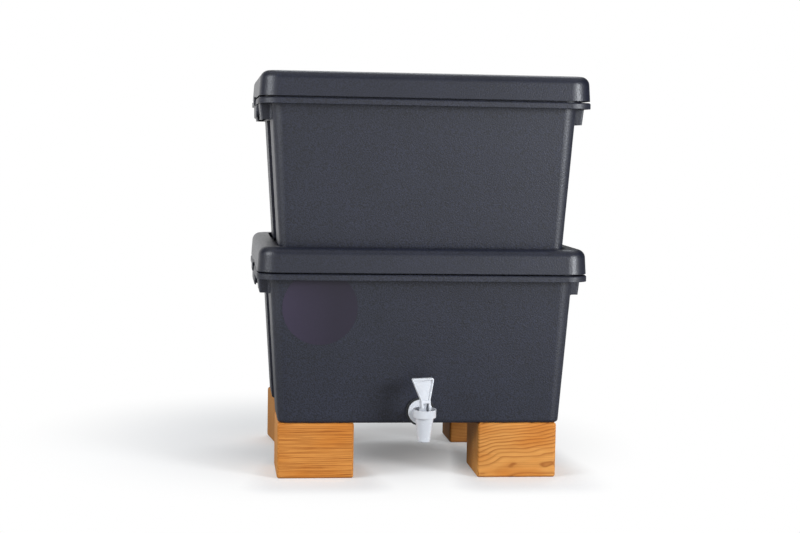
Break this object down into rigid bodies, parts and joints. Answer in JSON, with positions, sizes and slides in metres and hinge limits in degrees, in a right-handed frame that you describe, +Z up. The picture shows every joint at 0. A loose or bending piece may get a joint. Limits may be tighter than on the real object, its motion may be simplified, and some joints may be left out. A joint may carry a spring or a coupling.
{
  "type": "wormery",
  "caption": "Stacked plastic wormery: lidded worm chamber over a lidded liquid sump with a lever drain tap, standing on timber foot blocks.",
  "frame": {"origin": "on the ground, under the middle of the whole object", "axes": "+Z up, the tap faces -Y, +X to the right when facing the tap"},
  "size_m": [0.4476, 0.4108, 0.5428],
  "materials": {
    "recycled_polypropylene": "fine pebbled charcoal-black moulding",
    "woven_mesh": "fine woven screen",
    "label_film": "smooth dark film, bare",
    "pine": "planed pine, honey stain",
    "white_polypropylene": "glossy white moulding",
    "black_rubber": "matt",
    "spring_steel": "drawn wire"
  },
  "bodies": {
    "sump": {"lower_box": "recycled_polypropylene", "front_left_block": "pine", "front_right_block": "pine", "rear_left_block": "pine", "rear_right_block": "pine", "label_disc": "label_film", "tap_body": "white_polypropylene", "outer_washer": "black_rubber", "inner_washer": "black_rubber", "back_nut": "white_polypropylene", "bonnet_gasket": "black_rubber", "tap_bonnet": "white_polypropylene", "return_spring": "spring_steel"},
    "sump_lid": {"lower_lid": "recycled_polypropylene"},
    "worm_chamber": {"upper_box": "recycled_polypropylene", "drain_mesh": "woven_mesh"},
    "top_lid": {"upper_lid": "recycled_polypropylene", "vent_mesh": "woven_mesh"},
    "valve_plug": {"stem_seal": "black_rubber"},
    "valve_stem": {"tap_stem": "white_polypropylene"},
    "lever": {"tap_lever": "white_polypropylene", "lever_pin": "spring_steel"}
  },
  "joints": [
    {"name": "sump_lid_lift", "type": "slide", "parent": "sump", "child": "sump_lid", "axis": [0, 0, 1], "range_m": [0, 0.15]},
    {"name": "chamber_lift", "type": "slide", "parent": "sump_lid", "child": "worm_chamber", "axis": [0, 0, 1], "range_m": [0, 0.15]},
    {"name": "top_lid_lift", "type": "slide", "parent": "worm_chamber", "child": "top_lid", "axis": [0, 0, 1], "range_m": [0, 0.15]},
    {"name": "plug_lift", "type": "slide", "parent": "sump", "child": "valve_plug", "axis": [0, -0.0667, 0.9978], "range_m": [0, 0.004], "deforming": ["return_spring"]},
    {"name": "lever_swivel", "type": "hinge", "parent": "valve_plug", "child": "valve_stem", "pos_m": [0, -0.18937, 0.0885], "axis": [0, -0.0667, 0.9978], "range_deg": [-90, 90]},
    {"name": "lever_tip", "type": "hinge", "parent": "valve_stem", "child": "lever", "pos_m": [0, -0.19038, 0.10366], "axis": [0.9848, 0.1733, 0.0116], "range_deg": [0, 90]}
  ],
  "couplings": [
    {"joint": "plug_lift", "follows": "lever_tip", "m_per_rad": 0.002546}
  ]
}
